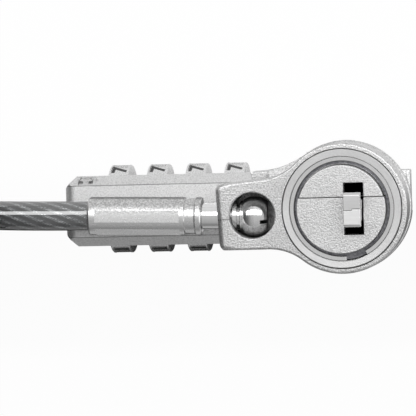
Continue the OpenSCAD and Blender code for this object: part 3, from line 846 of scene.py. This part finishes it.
# %% Collar outline
collar_r, ear_half, ear_tip_half, ear_left, ear_corner = 12, 6.45, 6.05, -23.1, 0.6
hollow_r = 10
hollow_y = ear_half + hollow_r
hollow_x = -sqrt((collar_r + hollow_r) ** 2 - hollow_y ** 2)
meet = degrees(atan2(hollow_y, hollow_x))
tip_x, tip_y = ear_left + ear_corner, ear_tip_half - ear_corner
outline = [*arc(0, 0, collar_r, -meet, meet, 88), *arc(hollow_x, hollow_y, hollow_r, meet + 180, 270, 14)[1:],
           *arc(tip_x, tip_y, ear_corner, 90, 180, 5), *arc(tip_x, -tip_y, ear_corner, 180, 270, 5),
           *arc(hollow_x, -hollow_y, hollow_r, 90, 180 - meet, 14)[:-1]]
collar_base, plate_top, ring_top = 19.1, 28.5, 29
collar = drawn("collar_casting", outline, collar_base, plate_top)
soften(collar, 0.45, 4, 34)
rounding_plan = [(ear_left, -6.0), (-18, -7.3), (-15, -20), (16, -20),
                 (16, 20), (-15, 20), (-18, 7.3), (ear_left, 6.0)]
ear_tip = drawn("ear_rounding_tool", rounding_plan, collar_base - 3, plate_top + 0.003)
soften(ear_tip, 1.15, 7, 34)
cut(collar, ear_tip, "INTERSECT")
print("collar outline:", len(outline), "points")

# %% [markdown]
# The bore is a stack of steps: the post's journal, a wider seat for the nose plates and a groove
# that the snap ring springs into. One turned tool cuts all three. The smooth annulus round it
# stands half a millimetre proud, dished by a hair, inside a fine turned groove.

# %% Collar bore, annulus, window and pin bore
cut(collar, turned("foot_groove", [(28.32, 11.0), (28.6, 10.86), (28.6, 11.14)], steps=160))
annulus_r, dished = 10.9, 0.09
cut(collar, turned("annulus", [(28, 9), (ring_top - dished, 9), (ring_top, annulus_r - 0.12),
                               (ring_top - 0.15, annulus_r), (28, annulus_r)], steps=160), "UNION")
bore = [(18, 0), (18, 8.3), (25.2, 8.3), (25.2, 9.6), (27.7, 9.6), (27.7, 10.1), (28.6, 10.1), (28.6, 9.6),
        (28.86, 9.6), (29.1, 9.8), (29.1, 0)]
cut(collar, turned("bore_tool", bore, steps=160))
window_r = 4.25
window = [(19.6, 0), (19.6, window_r), (28.22, window_r), (28.4, window_r + 0.08),
          (28.6, window_r + 0.34), (28.6, 0)]
cut(collar, turned("window_tool", window, shift(-ball_x), 128))
pin_swing = shift(-ball_x, pin_offset) @ turn(pin_lean) @ shift(ball_x)
cut(collar, rod("pin_seat_tool", 3.2, -ball_x - window_r, -ball_x, pin_swing @ along_x(z=pin_z)))
cut(collar, rod("pin_bore_tool", 2.45, ear_left - 2, -ball_x, pin_swing @ along_x(z=pin_z)))
cut(collar, block("mould_line", (ear_left - 1, -0.45, 28.38), (-20.6, -0.33, 30)))
placed(collar, on_collar)
finished(collar, "cable_collar", "satin_zinc", collar_skin, "swivel_collar")

# %% [markdown]
# ## Snap ring and nose plates
#
# The snap ring is a spring-steel clip with a gap, sprung into the collar's groove. A small
# rectangular section is spun round, just short of a full turn. The nose disc inside it is two
# plates that meet at a straight seam: one turned disc is cut in two by a plane, and each half
# gets its own bevel.

# %% Snap ring
gap_at, gap_half = 285.8, 11.6
clip_section = [(27.7, 8.72), (28.58, 8.72), (28.58, 10.05), (27.7, 10.05)]
clip = turned("spring_clip", clip_section, steps=110, angle=360 - 2 * gap_half)
soften(clip, 0.14, 3, 40)
placed(clip, turn(gap_at - gap_half))
finished(clip, "cable_collar", "polished_metal", bright_ring, "snap_ring")

# %% Nose plates
seam_y, nose_x = 2.1, 2.3
for name, node, upper, rim, seam_gap, rounding in (
        ("nose_plate_above", "upper_nose_plate", True, 8.0, 0.04, 0.2),
        ("nose_plate_below", "lower_nose_plate", False, 8.12, -0.04, 0.12)):
    disc = [(25.3, 0), (25.3, 9.2), (27.1, 9.2), (27.1, rim), (30.5, rim), (30.5, 0)]
    plate = turned(name, disc, steps=144)
    alone(plate)
    bpy.ops.object.mode_set(mode="EDIT")
    bpy.ops.mesh.select_all(action="SELECT")
    bpy.ops.mesh.bisect(plane_co=(0, seam_y + seam_gap, 0), plane_no=(0, 1, 0), use_fill=True,
                        clear_inner=upper, clear_outer=not upper)
    closed_up(plate)
    cut(plate, block("nose_opening", (nose_x - 1.8, -4.75, 20), (nose_x + 1.8, 4.75, 40)))
    soften(plate, rounding, 3, 40)
    finished(plate, "lock_body", "satin_zinc", disc_skin, node)

# %% [markdown]
# ## Swivel pin
#
# The pin ends in a ball with a flat, a driver's slot and turned grooves behind it. It is lathe
# work on the real lock, and the same here: one profile from the shank to the flat, spun round,
# then the slot is cut.

# %% Swivel pin
ball_r, flat_at, neck_at = 3.8, 2.5, -1.95
neck_angle, flat_angle = acos(neck_at / ball_r), acos(flat_at / ball_r)
ball_angles = [neck_angle + (flat_angle - neck_angle) * i / 26 for i in range(27)]
ball_arc = [(-ball_x + ball_r * cos(a), ball_r * sin(a)) for a in ball_angles]
scored_ball = [(x, r) for x, r in ball_arc if x < -ball_x - 0.12]
scored_ball += [(-ball_x - 0.1, 3.8), (-ball_x - 0.06, 3.7), (-ball_x + 0.06, 3.7), (-ball_x + 0.1, 3.8)]
scored_ball += [(x, r) for x, r in ball_arc if x > -ball_x + 0.12]
shank = [(-34.4, 0), (-34.4, 2.6), (-34.3, 2.7), (-31.4, 2.7), (-31.4, 2.4), (-20.6, 2.4)]
grooves = [(-20.6, 2.9), (-20.5, 3), (-19.8, 3), (-19.7, 2.9), (-19.7, 2.3), (-19.2, 2.3),
           (-19.2, 2.8), (-19.1, 2.9), (-18.85, 2.9), (-18.8, 2.7), (-18.55, 2.7)]
face_x = -ball_x + flat_at + 0.12
pin_profile = [*shank, *grooves, *scored_ball, (face_x, 2.66), (face_x, 0)]
pin = turned("ball_pin", pin_profile, steps=128)
cut(pin, block("driver_slot", (-0.36, -6, -ball_x + 1.3), (0.36, 6, -ball_x + 4), turn(15)))
placed(pin, on_pin @ along_x(z=pin_z))
finished(pin, "cable_end", "polished_metal", bright_pin, "swivel_pin", smooth=32)

# %% [markdown]
# ## Ferrule
#
# The ferrule is a turned aluminium sleeve, pressed on the cable with six flats, with a neck and a
# flange towards the pin. The lathe gives the round form. The press is copied too: six broad jaws
# are cut from it where the flats are, and the ends of the flats stay as faint steps.

# %% Ferrule
end, flange_face, r = ferrule_end, -26.4, 3.6
pressed = [(end, 2.85), (end, r - 0.35), (end + 0.12, r - 0.15), (end + 0.4, r), (-29.75, r)]
neck = [(-29.55, r - 0.06), (-29.4, r - 0.3), (-27.7, r - 0.3), (-27.55, r - 0.1), (-27.4, r)]
flange = [(flange_face - 0.2, r), (flange_face, r - 0.15), (flange_face, 3.1), (flange_face - 1.6, 2.45)]
inside = [(-31.3, 2.45), (-31.3, 2.75), (-34.5, 2.75), (-34.5, 0), (-43.7, 0), (-43.7, 2.85)]
sleeve = [*pressed, *neck, *flange, *inside]
ferrule = turned("crimped_ferrule", [*sleeve, sleeve[0]], steps=120)
for i in range(6):
    jaw_place = turn(60 * i + 28)
    cut(ferrule, block("press_jaw", (r - 0.17, -3, end + 1.5), (r + 1, 3, -30.4), jaw_place))
placed(ferrule, on_pin @ along_x(z=pin_z))
finished(ferrule, "cable_end", "ferrule_metal", alloy, "ferrule", smooth=24)

# %% [markdown]
# ## Jaws, lever and shells taken from the CAD
#
# These castings already have their exact shape in the CAD model. Real ones are tumbled in a drum,
# so no edge is left sharp, and a sharp edge is what gives a model away. Each is copied, its loose
# triangles are merged into clean faces, and its edges are rounded by a tenth or two of a
# millimetre, which is enough to draw a bright line along them.

# %% Housing, back plate, lever and jaws
eased_copy("housing", "main_casting", 0.18, cast, angle=40)
eased_copy("back_plate", "back_closing_plate", 0.12, cast, angle=40)
eased_copy("upper_jaw", "scissor_jaw_above", 0.09, jaw_painted_shade, angle=40)
eased_copy("lower_jaw", "scissor_jaw_below", 0.09, jaw_painted_lit, angle=40)

# %% [markdown]
# The lever's paddle is dished, so that a thumb finds it behind the collar. A shallow pocket in
# its upper face leaves a rounded rim.

# %% Thumb lever
lever = eased_copy("thumb_lever", "release_lever", 0.25, cast, segments=3, angle=40)
placed(lever, Matrix.Scale(1 / MM, 4))
pocket = drawn("thumb_pocket", [(8.2, 5.2), (11.0, 5.2), (11.3, 4.9), (11.3, 1.2)], 16.1, 18)
cut(lever, pocket)
placed(lever, Matrix.Scale(MM, 4))

# %% [markdown]
# ## Number wheels
#
# Each wheel is a ten-sided drum with a thin round rim at both ends. It is turned as a round drum
# first, and ten flats are milled between the rims, as on the real wheel.
# The digits are printed. They are real Text, made a mesh and laid on the sides, because a digit
# painted by a shader would need a picture.

# %% Wheel bodies
wheel_skin = Finish("wheel_nickel", metallic=0.85)
wheel_grain = wheel_skin.grain(0.00026, 3)
wheel_cloud = wheel_skin.grain(0.002, 2)
wheel_skin.feed("Base Color", wheel_skin.blend(wheel_grain * 0.7 + wheel_cloud * 0.3, grey(0.55), grey(0.9)))
wheel_skin.feed("Roughness", 0.2 + wheel_grain * 0.16)
wheel_skin.relief(wheel_grain, 0.00003, 0.4)

wheel_r, sides = 8.4, 10
facet = 360 / sides
face_r = wheel_r * cos(radians(facet / 2)) - 0.04


def wheel_place(i):
    """Where a wheel sits, and half its width."""
    low, high = span(f"number_wheel_{i}")
    return along_x((low.x + high.x) / 2, 0, axle_z), (high.x - low.x) / 2


for i in range(1, 5):
    place, half_w = wheel_place(i)
    rim, edge = 0.4, 0.16
    wheel = turned(f"wheel_{i}_drum", [(-half_w, 4.6), (-half_w, wheel_r - edge), (edge - half_w, wheel_r),
                                       (half_w - edge, wheel_r), (half_w, wheel_r - edge), (half_w, 4.6),
                                       (-half_w, 4.6)], steps=120)
    for k in range(sides):
        flat_tool = block("flat_tool", (face_r, -4, rim - half_w), (wheel_r + 1, 4, half_w - rim))
        cut(wheel, placed(flat_tool, turn(facet * (k + 0.5))))
    placed(wheel, place)
    finished(wheel, f"wheel_{i}", "wheel_metal", wheel_skin, f"number_wheel_{i}")

# %% Printed digits
ink_black = Finish("printing_ink")
ink_cloud = ink_black.grain(0.0005, 3)
ink_black.feed("Base Color", ink_black.steps(ink_cloud, (0.3, 0.006), (0.7, 0.022)))
ink_black.feed("Roughness", 0.4 + ink_cloud * 0.25)


digit_height, ink, text_depth = 2.9, 0.03, 0.01


def printed(number, angle):
    """One digit on the side whose normal stands at an angle round the wheel."""
    bpy.ops.object.select_all(action="DESELECT")
    bpy.ops.object.text_add()
    mark = bpy.context.object
    mark.data.body = str(number)
    mark.data.resolution_u = 5
    mark.data.extrude = text_depth
    mark.data.offset = 0.025
    bpy.ops.object.convert(target="MESH")
    mark = bpy.context.object
    corners = [corner.co for corner in mark.data.vertices]
    low = Vector(min(c[k] for c in corners) for k in range(3))
    high = Vector(max(c[k] for c in corners) for k in range(3))
    tall = digit_height / (high.y - low.y)
    size = Matrix.Diagonal((tall * 1.75, tall, ink / text_depth, 1))
    placed(mark, size @ Matrix.Translation(-(low + high) / 2))
    bpy.ops.object.mode_set(mode="EDIT")
    closed_up(mark)
    a = radians(angle)
    out, across = Vector((cos(a), sin(a), 0)), Vector((sin(a), -cos(a), 0))
    stand = Matrix((across, (0, 0, -1), out)).transposed().to_4x4()
    return placed(mark, Matrix.Translation(out * face_r) @ stand)


for i in range(1, 5):
    place, half_w = wheel_place(i)
    digits = joined(*[printed((7 + k) % sides, facet * (k + 0.5)) for k in range(sides)])
    digits.name = f"wheel_{i}_digits"
    placed(digits, place)
    finished(digits, f"wheel_{i}", "wheel_metal", ink_black)

# %% [markdown]
# ## Loop sleeve
#
# The far end of the cable is folded back on itself and held by an oval aluminium sleeve, pressed
# on in three bites. Two round lobes make its outline; the bites are cut out of the flat sides.

# %% Loop sleeve
lobe_r, lobe_out, sleeve_half = 3.4, 2.8, 6
outward = Vector((cos(radians(sleeve_angle)), sin(radians(sleeve_angle)), 0))
runs = Vector((-outward.y, outward.x, 0))
stand = Matrix((outward, (0, 0, 1), -runs)).transposed().to_4x4()
sleeve_place = Matrix.Translation(coil_place(sleeve_angle, loop_r - step_r / 2, loop_z)) @ stand
oval = [*arc(lobe_out, 0, lobe_r, -122, 122, 30), *arc(-lobe_out, 0, lobe_r, 58, 302, 30)]
loop_sleeve = drawn("pressed_loop_sleeve", oval, -sleeve_half, sleeve_half)
soften(loop_sleeve, 0.35, 3, 40)
for z in (-3.6, 0, 3.6):
    for side in (-1, 1):
        bite = block("press_bite", (-4.6, 2.45, z - 0.85), (4.6, 5, z + 0.85))
        soften(bite, 0.3, 2, 40)
        cut(loop_sleeve, placed(bite, turn(90 - 90 * side)))
for x in (-lobe_out, lobe_out):
    cut(loop_sleeve, rod("cable_mouth", 2.76, -sleeve_half - 1, sleeve_half + 1, shift(x), 48))
placed(loop_sleeve, sleeve_place)
finished(loop_sleeve, "cable_collar", "ferrule_metal", alloy, "loop_sleeve")

# %% [markdown]
# ## Coil strap
#
# A woven hook-and-loop strap keeps the coil together. It follows the bundle's outline with
# rounded corners, and its tail lies over itself on top. The weave is made of two sets of ribs in
# the strap's own directions, so its pattern is turned to the angle at which the strap sits.

# %% Coil strap
strap_angle, strap_half, strap_in, strap_out, strap_top = 330, 6, 18.5, 36.7, 23.9
thick, bend = 0.6, 3.2


def band(name, grow, half_width, low_z=0.0, high_z=strap_top):
    """A rounded rectangle across the bundle, extruded along the cable."""
    a, b, r = strap_in + grow, strap_out - grow, bend - grow
    low, high = low_z + grow, high_z - grow
    corners = [*arc(b - r, high - r, r, 0, 90, 8), *arc(a + r, high - r, r, 90, 180, 8),
               *arc(a + r, low + r, r, 180, 270, 8), *arc(b - r, low + r, r, 270, 360, 8)]
    return drawn(name, corners, -half_width, half_width, turn(90, "X"))


strap = band("woven_coil_strap", 0, strap_half)
cut(strap, band("strap_inside", thick, strap_half + 1))
tail = block("strap_tail", (strap_in + 4, -strap_half + 0.4, strap_top - 0.05),
             (strap_out - 3.4, strap_half - 0.4, strap_top + 0.65))
cut(strap, tail, "UNION")
soften(strap, 0.14, 2, 50)
placed(strap, Matrix.Translation(coil_centre) @ turn(strap_angle))
weave = Finish("woven_nylon", roughness=0.8)
lie = weave.node("ShaderNodeMapping", {}, weave.place, rotation=(0, 0, radians(-strap_angle)))
over, width, up = weave.axes(lie)
rib_across = ((over + up) * (pi / 0.0007)).wave() ** 2
rib_along = (width * (pi / 0.0011)).wave() ** 2
threads = rib_across * 0.6 + rib_along * 0.4
fluff = weave.grain(0.0004, 3)
nylon = weave.steps(threads * 0.7 + fluff * 0.4, (0.1, (0.008, 0.008, 0.009)), (0.9, (0.06, 0.06, 0.065)))
weave.feed("Base Color", nylon)
weave.feed("Roughness", 0.7 + fluff * 0.25)
weave.relief(threads + fluff * 0.4, 0.00025, 0.8)
finished(strap, "cable_collar", "strap", weave, "coil_tie", smooth=40)

# %% [markdown]
# ## Pieces that keep their CAD shape
#
# Screws, springs, shafts and brasses are turned or wound, and their CAD shape is right as it is.
# They only need a finish.

# %% Finishes for the inner pieces and fasteners
kept = {small_parts: ("cover_screws", "back_screws", "nose_screws", "end_plug"),
        shaft_steel: ("jaw_pivot_pin", "cam_shaft", "spindle"),
        spring_steel: ("jaw_spring", "lever_spring", "wave_washer", "spindle_spring", "click_spring"),
        brass: ("spindle_bush", *(f"wheel_hub_{i}" for i in range(1, 5)))}
for finish, nodes in kept.items():
    for node in nodes:
        for held in frame["nodes"][node].material_slots:
            held.material = finish.material
        print(node, "in", finish.material.name)
